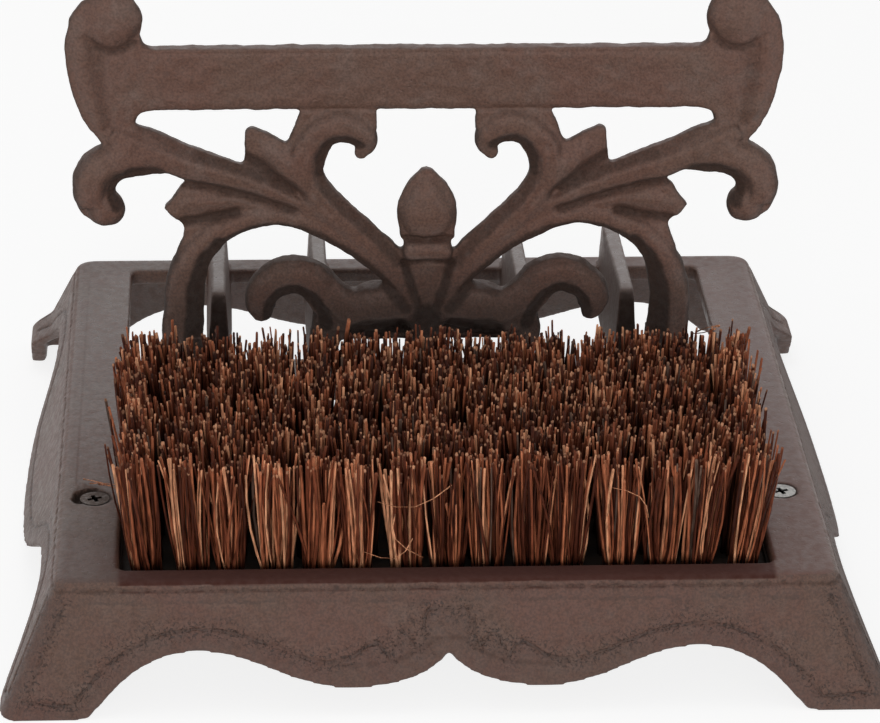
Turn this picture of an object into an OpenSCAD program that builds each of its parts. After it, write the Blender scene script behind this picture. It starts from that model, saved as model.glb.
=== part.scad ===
// Cast iron boot scraper: a footed base casting with a stiff brush at the front, a grate of
// upright ribs at the rear, and a scrolled scraper panel with a straight blade between them.
// X runs across the front, Y runs from front to rear and Z is up.
// The origin is the middle of the footprint, on the floor.

/* [Base casting] */
// Width of the flat top
top_width = 225; // [200:1:280]
// Depth of the flat top, front to rear
top_depth = 235; // [215:1:300]
// Height of the flat top above the floor
base_height = 36.5; // [33:0.5:50]
// How far each side apron flares out at the floor
side_flare = 16.5; // [8:0.5:24]
// How far the front and rear aprons flare out at the floor
end_flare = 15.5; // [8:0.5:24]
// Thickness of the flat top
plate_thickness = 5; // [4:0.5:8]
// Level thickness of the aprons
apron_wall = 5; // [4:0.5:7]
// Flat top left beside the opening
side_margin = 18; // [16:0.5:30]
// Flat top left in front of the opening
front_margin = 8; // [6:0.5:16]
// Flat top left behind the opening
rear_margin = 10.5; // [6:0.5:20]
// Radius of the opening's corners
opening_corner = 2.5; // [1:0.5:10]
// Radius of the four upright corners
corner_round = 6; // [5.5:0.5:12]

/* [Apron edges] */
// Length of each foot along the front and rear
end_foot = 26; // [16:1:34]
// Height of the arches beside the feet, front and rear
end_arch = 17.6; // [12:0.2:24]
// Distance of those arches from the middle
end_arch_place = 72; // [60:1:80]
// Height of the two rounded drops, front and rear
end_drop = 7.5; // [3:0.5:10]
// Distance of those drops from the middle
end_drop_place = 28; // [20:1:40]
// Height of the pointed notch in the middle, front and rear
end_notch = 16.7; // [11:0.1:22]
// Length of each foot along the sides
side_foot = 18.5; // [14:0.5:34]
// Height of the arches beside the feet, at the sides
side_arch = 23; // [12:0.5:26]
// Distance of those arches from the middle
side_arch_place = 84; // [60:1:90]
// Height of the single drop at the middle of each side
side_drop = 4; // [1:0.5:10]

/* [Cross member and grate] */
// Depth of the bar that carries the panel, front to rear
cross_depth = 16; // [12:0.5:24]
// Height of that bar
cross_height = 8; // [6:0.5:10]
// How far that bar's top lies below the flat top
cross_drop = 6; // [5:0.5:9]
// Number of ribs in the grate
rib_count = 5; // [3:2:7]
// Distance between ribs
rib_pitch = 32.7; // [24:0.1:36]
// Thickness of a rib at its top edge
rib_top = 4.5; // [3:0.5:6]
// Thickness of a rib at its bottom edge
rib_bottom = 8.5; // [6:0.5:12]
// Height of the ribs above the flat top, at the panel
rib_front_rise = 18.5; // [8:0.5:30]
// Height of the ribs above the flat top, at the rear
rib_rear_rise = 14.5; // [4:0.5:24]
// Radius of the ribs' upper corners
rib_round = 6; // [2:0.5:8]
// Gap between the ribs and the panel
rib_gap = 1; // [0.5:0.5:6]

/* [Scraper panel] */
// Overall width across the scrolls
panel_width = 223; // [200:1:260]
// Front to rear depth of the scrollwork
scroll_depth = 7; // [6:0.5:12]
// Thickness of the blade that scrapes the sole
blade_thickness = 5.5; // [4:0.5:8]
// Height of the blade
blade_height = 19; // [14:0.5:30]
// Height of the blade's lower edge above the floor
blade_level = 120.8; // [105:0.2:150]
// Space between the brush block and the cross member
brush_space = 50; // [20:1:60]
// Distance between the middles of the panel's two legs
leg_spacing = 155; // [140:1:170]
// Width of each leg
leg_width = 13; // [9:0.5:15]
// Front to rear depth of the bolted foot under each leg
foot_depth = 11; // [9:0.5:16]
// Height of that foot
foot_height = 13; // [10:0.5:15]
// Width of the stem's foot between the legs
stem_foot = 8; // [6:0.5:14]
// Radius where two members of the scrollwork meet
member_fillet = 1; // [0.4:0.1:1.5]
// Rounding of the leaves' tips
leaf_round = 1.6; // [0.4:0.2:2]

/* [Brush] */
// Depth of the bristle field, front to rear
brush_depth = 87.5; // [70:0.5:98]
// Distance between tufts along a row
tuft_pitch = 12.5; // [11:0.25:16]
// Height of the bristle tips above the flat top
brush_rise = 33.5; // [20:0.5:45]
// Thickness of the wooden block
block_thickness = 15; // [12:0.5:16]
// How far the block reaches under the flat top at each side
block_lip = 13; // [12:0.5:14]
// How far the block reaches under the flat top at the front, and past the bristles at the rear
block_end_lip = 2.5; // [1:0.5:3]
// Depth of the block's bed that holds the rows' backing slices
slice_thickness = 2; // [1:0.5:4]
// Width of a strand where it leaves the backing
strand_root = 1.6; // [1.2:0.1:2]
// Width of a strand at its cut tip
strand_tip = 1.2; // [0.8:0.1:2]

/* [Fasteners] */
// Diameter of the brush screws' heads
screw_head = 8.8; // [7:0.2:9.6]
// Diameter of the brush screws' shanks
screw_shank = 4; // [3:0.1:5]
// Length of the brush screws
screw_length = 16; // [12:0.5:18]
// Distance of the brush screws from the opening's edge
screw_inset = 8; // [6:0.5:9]
// Distance of the brush screws from the front of the bristles
screw_place = 44; // [20:0.5:60]
// Diameter of the panel bolts
bolt_diameter = 5; // [4:0.5:5]
// Width of the panel bolts' heads across their flats
bolt_flats = 8; // [7:0.5:10]
// Height of the panel bolts' heads
bolt_head = 3.5; // [2.5:0.5:5]
// How far the panel bolts reach into the panel's legs
bolt_reach = 9; // [6:0.5:9]
// Diameter of the washers under the bolt heads
washer_diameter = 11; // [10:0.5:14]
// Thickness of those washers
washer_thickness = 1; // [0.6:0.1:2]
// Room round the screws and bolts in the holes that they pass
hole_room = 0.3; // [0.1:0.05:0.5]
// Room between a screw or bolt and the hole that grips it
grip_room = 0.05; // [0.02:0.01:0.1]
// Room between neighbouring pieces of the brush
seat_room = 0.2; // [0.1:0.05:0.4]

/* [Hidden] */
ROW_COUNT = 7;
$fn = 48;
beyond = 1;
iron = [0.33, 0.27, 0.25];
wood = [0.13, 0.1, 0.08];
fibre = [0.48, 0.25, 0.13];
zinc = [0.62, 0.62, 0.6];

// Opening and the flat top's edges
opening_width = top_width - 2 * side_margin;
opening_front = -top_depth / 2 + front_margin;
opening_rear = top_depth / 2 - rear_margin;
plate_under = base_height - plate_thickness;

// How the curves of the aprons' lower edges leave the feet, and round the arches, drops and notch
foot_lean = 7;
arch_lead = 15;
arch_ease = 0.37;
drop_ease = 0.4;
notch_ease = 0.16;
notch_rise = 0.4;

// Brush
row_pitch = brush_depth / ROW_COUNT;
brush_front = opening_front + block_end_lip;
tuft_count = floor((opening_width - seat_room) / tuft_pitch);
slice_length = tuft_count * tuft_pitch;
block_width = opening_width + 2 * block_lip;
block_front = opening_front - block_end_lip;
block_rear = brush_front + brush_depth + block_end_lip;
slice_level = plate_under - slice_thickness;
tip_level = base_height + brush_rise;
root_spread = 3.2;
tip_spread = 6.4;
tip_wander = 0.7;
length_wander = 1.6;
side_lean = 8;
front_lean = 2.2;

// Cross member, panel and grate
cross_front = block_rear + brush_space;
cross_top = base_height - cross_drop;
cross_under = cross_top - cross_height;
panel_place = cross_front + cross_depth / 2;
rib_front = panel_place + scroll_depth / 2 + rib_gap;
rib_rear = opening_rear + rear_margin / 2;

// The scrollwork is drawn in millimetres for a panel of these sizes and fitted to the real ones
drawn_width = 223;
drawn_foot = 30.5;
drawn_blade = 120.8;
drawn_ankle = 40;
blade_reach = 100;
across = panel_width / drawn_width;
upward = (blade_level - cross_top) / (drawn_blade - drawn_foot);
leg_place = leg_spacing / 2 / across;
bolt_place = leg_spacing / 2;

// Brush screws
screw_x = opening_width / 2 + screw_inset;
screw_y = brush_front + screw_place;
screw_sink = 0.2;
head_height = (screw_head - screw_shank) / 2;
recess_turn = 20;

function fitted(p) = [p[0] * across, cross_top + (p[1] - drawn_foot) * upward];

function bezier(a, b, c, d, steps) = [
    for (i = [0 : steps])
        let (t = i / steps, s = 1 - t)
            s * s * s * a + 3 * s * s * t * b + 3 * s * t * t * c + t * t * t * d
];

// A smooth run through hand-set points, each with a place and a width: [x, z, width]
function between(p, i, t) =
    let (
        n = len(p) - 1,
        a = p[max(i - 1, 0)],
        b = p[i],
        c = p[i + 1],
        d = p[min(i + 2, n)]
    )
    b + t * (c - a) / 2
    + t * t * (2 * a - 5 * b + 4 * c - d) / 2
    + t * t * t * (3 * b - a - 3 * c + d) / 2;

function smooth(p, steps) = concat(
    [for (i = [0 : len(p) - 2], k = [0 : steps - 1]) between(p, i, k / steps)],
    [p[len(p) - 1]]
);

function heading(p, i) =
    let (v = p[min(i + 1, len(p) - 1)] - p[max(i - 1, 0)], q = [v[0], v[1]])
    q / norm(q);

function edge_points(p, side) = [
    for (i = [0 : len(p) - 1])
        let (h = heading(p, i))
            [p[i][0] - side * h[1] * p[i][2] / 2, p[i][1] + side * h[0] * p[i][2] / 2]
];

function reversed(p) = [for (i = [len(p) - 1 : -1 : 0]) p[i]];

// One member of the scrollwork, with round ends
module member(points, steps = 3) {
    fit = [for (p = points) concat(fitted(p), [p[2]])];
    run = smooth(fit, steps);
    polygon(concat(edge_points(run, 1), reversed(edge_points(run, -1))));
    for (end = [run[0], run[len(run) - 1]])
        translate([end[0], end[1]])
            circle(d = end[2], $fn = 16);
}

module leaf(points) {
    polygon([for (p = points) fitted(p)]);
}

// A leaf whose tips are rounded
module soft_leaf(points) {
    offset(r = leaf_round, $fn = 16)
        offset(delta = -leaf_round)
            leaf(points);
}

module knob(place, radius) {
    translate(fitted(place))
        circle(r = radius, $fn = 30);
}

module mirrored() {
    children();
    mirror([1, 0])
        children();
}

// A solid with rounded corners whose four sides flare outwards from the flat top down past the floor
module flared_block(inset, top) {
    function half_sizes(level) = [
        top_width / 2 - inset + side_flare * (base_height - level) / base_height,
        top_depth / 2 - inset + end_flare * (base_height - level) / base_height
    ];
    low = half_sizes(-beyond);
    high = half_sizes(top);
    round_off = corner_round - inset;
    translate([0, 0, -beyond])
        linear_extrude(top + beyond, scale = [high[0] / low[0], high[1] / low[1]], slices = 1, segments = 0)
            offset(r = round_off, $fn = 24)
                square(2 * (low - round_off * [1, 1]), center = true);
}

// The part of an apron's lower edge from one foot to the middle, as a closed half outline
module edge_half(foot, arch_place, arch, drop_place, drop, notch) {
    up = [0, 1];
    over = [1, 0];
    curve = concat(
        bezier(foot * over, [foot - foot_lean, arch / 2], [arch_place + arch_lead, arch], [arch_place, arch], 10),
        bezier(
            [arch_place, arch],
            [arch_place - arch_ease * (arch_place - drop_place), arch],
            [drop_place + drop_ease * (arch_place - drop_place), drop],
            [drop_place, drop],
            10
        ),
        drop_place == 0 ? [] : bezier(
            [drop_place, drop],
            [drop_place / 2, drop],
            [notch_ease * drop_place, drop + notch_rise * (notch - drop)],
            notch * up,
            8
        )
    );
    polygon(concat([(foot + beyond) * over - 2 * beyond * up, -2 * beyond * up], reversed(curve)));
}

module edge_cuts() {
    end_reach = top_width / 2 + side_flare - end_foot;
    side_reach = top_depth / 2 + end_flare - side_foot;
    rotate([90, 0, 0])
        linear_extrude(top_depth * 2, center = true)
            offset(delta = 0)
                mirrored()
                    edge_half(end_reach, end_arch_place, end_arch, end_drop_place, end_drop, end_notch);
    rotate([90, 0, 90])
        linear_extrude(top_width * 2, center = true)
            offset(delta = 0)
                mirrored()
                    edge_half(side_reach, side_arch_place, side_arch, 0, side_drop, side_drop);
}

module opening() {
    depth = opening_rear - opening_front;
    translate([0, (opening_front + opening_rear) / 2, plate_under - beyond])
        linear_extrude(plate_thickness + 2 * beyond) {
            square([opening_width - 2 * opening_corner, depth], center = true);
            square([opening_width, depth - 2 * opening_corner], center = true);
            for (x = [-1, 1], y = [-1, 1])
                translate([x * (opening_width / 2 - opening_corner), y * (depth / 2 - opening_corner)])
                    circle(opening_corner);
        }
}

module cross_member() {
    intersection() {
        flared_block(apron_wall / 2, base_height);
        translate([-top_width, cross_front, cross_under])
            cube([2 * top_width, cross_depth, cross_height]);
    }
}

// An upright rib that thins towards its top, with rounded upper corners
module rib() {
    front_top = base_height + rib_front_rise;
    rear_top = base_height + rib_rear_rise;
    intersection() {
        rotate([90, 0, 0])
            linear_extrude(top_depth * 2, center = true)
                polygon([
                    [-rib_bottom / 2, cross_under],
                    [rib_bottom / 2, cross_under],
                    [rib_top / 2, front_top],
                    [-rib_top / 2, front_top]
                ]);
        rotate([90, 0, 90])
            linear_extrude(rib_bottom * 2, center = true)
                polygon(concat(
                    [[rib_rear, cross_under], [rib_front, cross_under]],
                    bezier(
                        [rib_front, front_top - rib_round],
                        [rib_front, front_top],
                        [rib_front, front_top],
                        [rib_front + rib_round, front_top],
                        6
                    ),
                    bezier(
                        [rib_rear - rib_round, rear_top],
                        [rib_rear, rear_top],
                        [rib_rear, rear_top],
                        [rib_rear, rear_top - rib_round],
                        6
                    )
                ));
    }
}

module screw_holes() {
    for (x = [-screw_x, screw_x])
        translate([x, screw_y, 0]) {
            translate([0, 0, plate_under - beyond])
                cylinder(d = screw_shank + 2 * hole_room, h = plate_thickness + 2 * beyond);
            translate([0, 0, base_height - screw_sink - head_height - hole_room])
                cylinder(
                    d1 = screw_shank,
                    d2 = screw_head + 2 * (screw_sink + hole_room + beyond),
                    h = head_height + screw_sink + hole_room + beyond
                );
        }
}

module bolt_holes() {
    for (x = [-bolt_place, bolt_place])
        translate([x, panel_place, cross_under - beyond])
            cylinder(d = bolt_diameter + 2 * hole_room, h = cross_height + 2 * beyond);
}

module base_frame() color(iron)
    difference() {
        union() {
            difference() {
                flared_block(0, base_height);
                flared_block(apron_wall, plate_under);
                opening();
            }
            cross_member();
            for (i = [0 : rib_count - 1])
                translate([(i - (rib_count - 1) / 2) * rib_pitch, 0, 0])
                    rib();
        }
        translate([0, 0, -2 * beyond])
            linear_extrude(2 * beyond)
                square(2 * (top_width + top_depth), center = true);
        edge_cuts();
        screw_holes();
        bolt_holes();
    }

// Half of the scrollwork, from the stem in the middle to the outer scroll
module scrollwork_half() {
    // stem arm that turns over into the heart-shaped curl
    member([
        [2.5, 46, 6], [6, 60, 9], [11.2, 68.8, 9.5], [20.2, 78.2, 9.5], [29.3, 86.7, 10], [35.8, 94.8, 10],
        [38, 102.5, 11], [33.5, 112.3, 11], [27.2, 115, 11], [21.6, 113.5, 10], [19, 109.5, 7.6],
        [20.4, 106.4, 4.6]
    ]);
    // bracket between that curl and the blade
    leaf([[15.6, 122], [15.4, 114], [20, 112], [34, 112], [43.3, 109.9], [38.6, 122]]);
    // round arch and outer leg
    member([
        [4.5, 52, 5], [9.8, 62.5, 6.5], [16.5, 69.3, 7], [25.5, 76.2, 6.8], [35, 81.2, 6.4], [46, 85, 6.2],
        [57, 83.6, 7], [65.5, 80, 8.6], [71.8, 74, 9.8], [75.3, 67.5, 11.6], [77, 60, 12.6],
        [leg_place, 50, leg_width], [leg_place, drawn_ankle, leg_width]
    ]);
    // rising arm
    member([
        [24, 80, 6], [40, 89.5, 7], [58, 97.5, 9], [75, 103.2, 11], [89, 109.5, 11], [98, 114, 9]
    ]);
    // tall outer scroll and its round eye
    member([[98, 112, 8], [101.8, 120, 11], [104.4, 130, 12], [105.7, 140, 12], [103.3, 149, 13], [98, 153, 13]]);
    knob([97, 150.4], 9.6);
    // webs where the blade meets that scroll, above and below
    leaf([[98, 139], [84.5, 139], [84.5, 139.8], [87.4, 141.6], [88.6, 146], [98, 150]]);
    leaf([[98, 122], [86, 122], [86, 120.8], [89.6, 119.4], [96, 114]]);
    // drooping outer curl and its round end
    member([[84, 103.5, 8], [95, 104.2, 12], [101.6, 101.2, 13.5], [104.5, 95.3, 13.5], [103.8, 90, 12]]);
    knob([101, 88], 6);
    // upper leaf
    soft_leaf([
        [30, 86], [36, 100], [44.3, 109.7], [50, 112.9], [55, 115.4], [56.6, 113.6], [57.2, 103], [48, 94]
    ]);
    // lower leaf
    soft_leaf([
        [38, 86], [60, 95], [76.8, 96.2], [78.5, 93.4], [82.2, 87.6], [80.4, 85.2], [77, 82.9], [76.5, 81],
        [77.4, 77.5], [80, 71.5], [73, 70], [60, 84]
    ]);
    // low scroll beside the stem
    member([
        [5, 52.5, 12], [14, 52.7, 17.2], [24.5, 51.6, 15], [32.3, 57.4, 12.5], [36.3, 62.3, 12.2],
        [43, 64.4, 11.8], [50.3, 61, 10.8], [53.1, 55.3, 9], [52.6, 52, 7]
    ]);
    // half of the stem, its collar and the bud on top
    leaf([
        [0, drawn_ankle], [stem_foot / 2, drawn_ankle], [3.6, 46], [5, 58], [7.4, 67], [7.4, 77.5], [0, 77.5]
    ]);
    polygon([
        for (p = concat(
            [[0, 77]],
            bezier([8.6, 77], [8.3, 80], [9.7, 83], [9.5, 86.5], 5),
            bezier([9.5, 86.5], [9.2, 92.3], [5.6, 96.4], [2.7, 99.4], 7),
            bezier([2.7, 99.4], [1.8, 100.4], [0.9, 100.8], [0, 100.8], 4)
        ))
            fitted(p)
    ]);
}

// What stands on the cross member: the legs and the stem between them
module panel_ankles() {
    ankle = (drawn_ankle - drawn_foot) * upward;
    for (x = [-bolt_place, bolt_place])
        translate([x - leg_width / 2, cross_top])
            square([leg_width, ankle]);
    translate([-stem_foot / 2, cross_top])
        square([stem_foot, ankle]);
}

module scraper_panel() color(iron)
    translate([0, panel_place, 0])
        difference() {
            union() {
                rotate([90, 0, 0])
                    linear_extrude(scroll_depth, center = true)
                        offset(r = -member_fillet, $fn = 8)
                            offset(delta = member_fillet) {
                                mirrored()
                                    scrollwork_half();
                                panel_ankles();
                            }
                translate([-blade_reach * across, -blade_thickness / 2, blade_level])
                    cube([2 * blade_reach * across, blade_thickness, blade_height]);
                for (x = [-bolt_place, bolt_place])
                    translate([x - leg_width / 2, -foot_depth / 2, cross_top])
                        cube([leg_width, foot_depth, foot_height]);
            }
            for (x = [-bolt_place, bolt_place])
                translate([x, 0, cross_top - beyond])
                    cylinder(d = bolt_diameter + 2 * grip_room, h = bolt_reach + 2 * beyond);
        }

module brush_block() color(wood)
    difference() {
        translate([-block_width / 2, block_front, plate_under - block_thickness])
            cube([block_width, block_rear - block_front, block_thickness]);
        translate([-slice_length / 2 - seat_room, brush_front - seat_room, slice_level])
            cube([slice_length + 2 * seat_room, brush_depth + 2 * seat_room, slice_thickness + beyond]);
        for (x = [-screw_x, screw_x])
            translate([x, screw_y, base_height - screw_length - beyond])
                cylinder(d = screw_shank + 2 * grip_room, h = screw_length + beyond);
    }

// One row of tufts on its slice of the block. The slice's top is a grid of cells, and each
// strand grows out of one cell as a four-sided, tapering stalk.
module bristle_row(row) {
    columns = 4 * tuft_count + 2;
    lines = 6;
    middle = brush_front + (row - 0.5) * row_pitch;
    wander = rands(-1, 1, 6 * tuft_count * 2, 40 + row);
    front_share = pow(1 - (row - 1) / (ROW_COUNT - 1), 3);

    function tuft(k) = (floor(k / 2) - (tuft_count - 1) / 2) * tuft_pitch;
    function side(k) = k % 2 == 0 ? -1 : 1;
    function root_x(k) = tuft(k) + side(k) * root_spread / 2;
    function outwards(k) =
        let (share = tuft(k) / (slice_length / 2))
        side_lean * sign(share) * pow(abs(share), 5);

    grid_x = concat(
        [-slice_length / 2],
        [for (k = [0 : 2 * tuft_count - 1], s = [-1, 1]) root_x(k) + s * strand_root / 2],
        [slice_length / 2]
    );
    grid_y = concat(
        [-row_pitch / 2 + seat_room / 2],
        [for (b = [-1, 1], s = [-1, 1]) b * root_spread / 2 + s * strand_root / 2],
        [row_pitch / 2 - seat_room / 2]
    );
    function cell(i, j) = i * lines + j;
    slice_top = [for (x = grid_x, y = grid_y) [x, middle + y, plate_under]];

    corner = columns * lines;
    slice_bottom = [
        for (x = [grid_x[0], grid_x[columns - 1]], y = [grid_y[0], grid_y[lines - 1]])
            [x, middle + y, slice_level]
    ];

    first_tip = corner + 4;
    tips = [
        for (k = [0 : 2 * tuft_count - 1], b = [0, 1], c = [[-1, -1], [1, -1], [1, 1], [-1, 1]])
            let (
                w = 6 * k + 3 * b,
                x = tuft(k) + side(k) * tip_spread / 2 + outwards(k) + tip_wander * wander[w],
                y = (2 * b - 1) * tip_spread / 2 - front_lean * front_share + tip_wander * wander[w + 1]
            )
            [
                x + c[0] * strand_tip / 2,
                middle + y + c[1] * strand_tip / 2,
                tip_level + length_wander * wander[w + 2]
            ]
    ];

    plain_cells = [
        for (i = [0 : columns - 2], j = [0 : lines - 2])
            if (i % 2 == 0 || j % 2 == 0)
                each [
                    [cell(i, j), cell(i, j + 1), cell(i + 1, j + 1)],
                    [cell(i, j), cell(i + 1, j + 1), cell(i + 1, j)]
                ]
    ];
    strands = [
        for (k = [0 : 2 * tuft_count - 1], b = [0, 1])
            let (
                i = 2 * k + 1,
                j = 2 * b + 1,
                root = [cell(i, j), cell(i + 1, j), cell(i + 1, j + 1), cell(i, j + 1)],
                tip = first_tip + 8 * k + 4 * b
            )
            each concat(
                [for (s = [0 : 3]) [root[s], tip + s, root[(s + 1) % 4]]],
                [for (s = [0 : 3]) [tip + s, tip + (s + 1) % 4, root[(s + 1) % 4]]],
                [[tip, tip + 3, tip + 2], [tip, tip + 2, tip + 1]]
            )
    ];
    walls = concat(
        [for (i = [0 : columns - 2]) [corner, cell(i, 0), cell(i + 1, 0)]],
        [[corner, cell(columns - 1, 0), corner + 2]],
        [for (i = [0 : columns - 2]) [corner + 1, cell(i + 1, lines - 1), cell(i, lines - 1)]],
        [[corner + 1, corner + 3, cell(columns - 1, lines - 1)]],
        [for (j = [0 : lines - 2]) [corner, cell(0, j + 1), cell(0, j)]],
        [[corner, corner + 1, cell(0, lines - 1)]],
        [for (j = [0 : lines - 2]) [corner + 2, cell(columns - 1, j), cell(columns - 1, j + 1)]],
        [[corner + 2, cell(columns - 1, lines - 1), corner + 3]],
        [[corner, corner + 2, corner + 3], [corner, corner + 3, corner + 1]]
    );
    color(fibre)
        polyhedron(concat(slice_top, slice_bottom, tips), concat(plain_cells, strands, walls));
}

// Countersunk wood screws with a cross recess
module brush_screws() color(zinc)
    for (x = [-screw_x, screw_x])
        translate([x, screw_y, base_height - screw_sink])
            difference() {
                union() {
                    translate([0, 0, -head_height])
                        cylinder(d1 = screw_shank, d2 = screw_head, h = head_height);
                    translate([0, 0, screw_sink - screw_length])
                        cylinder(d = screw_shank, h = screw_length - screw_sink - head_height / 2);
                }
                for (turn = [recess_turn, recess_turn + 90])
                    rotate(turn)
                        translate([-screw_head / 4, -screw_head / 14, -head_height / 2])
                            cube([screw_head / 2, screw_head / 7, head_height]);
            }

module panel_bolts() color(zinc)
    for (x = [-bolt_place, bolt_place])
        translate([x, panel_place, cross_under - washer_thickness]) {
            translate([0, 0, -bolt_head])
                cylinder(d = bolt_flats / cos(30), h = bolt_head, $fn = 6);
            cylinder(d = bolt_diameter, h = washer_thickness + cross_height + bolt_reach);
        }

module panel_washers() color(zinc)
    for (x = [-bolt_place, bolt_place])
        translate([x, panel_place, cross_under - washer_thickness])
            difference() {
                cylinder(d = washer_diameter, h = washer_thickness);
                translate([0, 0, -beyond])
                    cylinder(d = bolt_diameter + 2 * hole_room, h = washer_thickness + 2 * beyond);
            }

base_frame();
scraper_panel();
brush_block();
for (r = [1 : ROW_COUNT])
    bristle_row(r);
brush_screws();
panel_bolts();
panel_washers();
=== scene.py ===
import math
import random

import bpy
import numpy as np
from mathutils import Matrix, Vector, geometry
from mathutils import noise as lumps


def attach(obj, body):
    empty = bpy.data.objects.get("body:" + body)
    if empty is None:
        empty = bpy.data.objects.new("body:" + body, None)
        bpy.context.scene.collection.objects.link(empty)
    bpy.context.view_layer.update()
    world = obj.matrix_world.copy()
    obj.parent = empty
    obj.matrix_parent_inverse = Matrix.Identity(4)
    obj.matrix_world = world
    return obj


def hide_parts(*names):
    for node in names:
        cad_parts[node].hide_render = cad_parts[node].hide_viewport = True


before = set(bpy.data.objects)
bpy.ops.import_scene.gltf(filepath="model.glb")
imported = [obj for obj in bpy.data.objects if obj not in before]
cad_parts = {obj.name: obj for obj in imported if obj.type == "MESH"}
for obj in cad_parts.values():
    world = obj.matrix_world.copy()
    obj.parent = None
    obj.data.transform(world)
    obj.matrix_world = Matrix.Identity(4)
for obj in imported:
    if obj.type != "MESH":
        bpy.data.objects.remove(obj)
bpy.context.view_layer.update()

# Camera, floor and light
# The scraper stands on a plain white floor. The camera looks down at it from the front, and soft light
# comes mostly from the camera's side.
MM = 0.001
LOOK_AT = Vector((3.13, 0, 51.16)) * MM
CAMERA_DISTANCE = 1309.79 * MM
FOCAL_LENGTH, SENSOR_WIDTH = 172.61, 36
TURN, TILT, ROLL = (math.radians(angle) for angle in (3.131, 24.515, 0.755))
bpy.ops.object.select_all(action="DESELECT")
bpy.ops.object.camera_add()
camera = bpy.context.object
camera.data.lens = FOCAL_LENGTH
camera.data.sensor_width = SENSOR_WIDTH
camera.matrix_world = (
    Matrix.Translation(LOOK_AT)
    @ Matrix.Rotation(-TURN, 4, "Z")
    @ Matrix.Rotation(math.pi / 2 - TILT, 4, "X")
    @ Matrix.Rotation(ROLL, 4, "Z")
    @ Matrix.Translation((0, 0, CAMERA_DISTANCE))
)
bpy.context.scene.camera = camera
bpy.context.scene.view_settings.view_transform = "Standard"

for lamp_name, place, size, power in (
    ("front_softbox", (-700, -3000, 460), 1500, 41),
    ("right_softbox", (1500, -2400, 380), 1300, 11),
    ("top_softbox", (-150, 250, 1500), 900, 2.5),
):
    bpy.ops.object.light_add(type="AREA", location=Vector(place) * MM)
    lamp = bpy.context.object
    lamp.name = lamp_name
    lamp.data.size = size * MM
    lamp.data.energy = power
    lamp.rotation_euler = (LOOK_AT - lamp.location).to_track_quat("-Z", "Y").to_euler()
    lamp.visible_glossy = False


def add_node(tree, kind, inputs=None, **settings):
    """Adds a shader node, sets it, and links or sets its inputs."""
    made = tree.nodes.new("ShaderNode" + kind)
    for key, value in settings.items():
        setattr(made, key, value)
    for key, value in (inputs or {}).items():
        if isinstance(value, bpy.types.NodeSocket):
            tree.links.new(value, made.inputs[key])
        else:
            made.inputs[key].default_value = value
    return made


def seen_mask(tree):
    """1 for the rays that show the background: straight from the camera, or by a reflection."""
    path = add_node(tree, "LightPath")
    either = add_node(tree, "Math", {0: path.outputs["Is Camera Ray"], 1: path.outputs["Is Glossy Ray"]},
                      operation="MAXIMUM")
    both = add_node(tree, "Math", {0: either.outputs[0], 1: path.outputs["Is Transmission Ray"]},
                    operation="MAXIMUM")
    return both.outputs[0]


world = bpy.data.worlds.new("studio")
bpy.context.scene.world = world
world.use_nodes = True
sky = world.node_tree
sky.nodes.clear()
sky_colour = add_node(sky, "Mix", {0: seen_mask(sky), 6: (0.26, 0.26, 0.26, 1), 7: (1, 1, 1, 1)},
                      data_type="RGBA")
sky_light = add_node(sky, "Background", {"Color": sky_colour.outputs[2], "Strength": 1.0})
add_node(sky, "OutputWorld", {"Surface": sky_light.outputs[0]})

bpy.ops.object.select_all(action="DESELECT")
bpy.ops.mesh.primitive_circle_add(vertices=64, radius=6, fill_type="NGON")
floor = bpy.context.object
floor.name = "floor"
floor_paint = bpy.data.materials.new("white_floor")
floor_paint.use_nodes = True
tree = floor_paint.node_tree
tree.nodes.clear()
shade = add_node(tree, "BsdfDiffuse", {"Color": (0.34, 0.34, 0.34, 1)})
glow = add_node(tree, "Emission", {"Color": (0.82, 0.82, 0.82, 1), "Strength": 1.0})
bright = add_node(tree, "AddShader", {0: shade.outputs[0], 1: glow.outputs[0]})
either = add_node(tree, "MixShader", {0: seen_mask(tree), 1: shade.outputs[0], 2: bright.outputs[0]})
add_node(tree, "OutputMaterial", {"Surface": either.outputs[0]})
floor.data.materials.append(floor_paint)

# Base casting
# One sand-cast iron piece with a thin brown finish: the flat top, four flared aprons on corner feet, the
# cross member and the grate's ribs. Border lines and a small leaf ornament are cast into the aprons.
TOP_HALF = (112.5, 117.5)
FOOT_HALF = (129.0, 133.0)
TOP_HEIGHT = 36.5
SIDE_FLARE = (FOOT_HALF[0] - TOP_HALF[0]) / TOP_HEIGHT
BASE_VOXEL = 0.6 * MM
BASE_TRIANGLES = 190000


def take(piece):
    """Selects one piece alone, ready for the next operator."""
    bpy.ops.object.select_all(action="DESELECT")
    piece.select_set(True)
    bpy.context.view_layer.objects.active = piece


def apply(piece, kind, **settings):
    """Adds a modifier to a piece and applies it."""
    take(piece)
    modifier = piece.modifiers.new(kind.lower(), kind)
    for key, value in settings.items():
        setattr(modifier, key, value)
    bpy.ops.object.modifier_apply(modifier=modifier.name)


def join(pieces, name):
    """Joins pieces into the first one."""
    take(pieces[0])
    for piece in pieces[1:]:
        piece.select_set(True)
    bpy.ops.object.join()
    pieces[0].name = name
    return pieces[0]


def cad_copy(node, name):
    """A welded copy of a CAD node's mesh, as a new piece."""
    piece = bpy.data.objects.new(name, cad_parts[node].data.copy())
    bpy.context.collection.objects.link(piece)
    piece.data.materials.clear()
    take(piece)
    bpy.ops.object.mode_set(mode="EDIT")
    bpy.ops.mesh.select_all(action="SELECT")
    bpy.ops.mesh.remove_doubles(threshold=0.00001)
    bpy.ops.object.mode_set(mode="OBJECT")
    return piece


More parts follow.
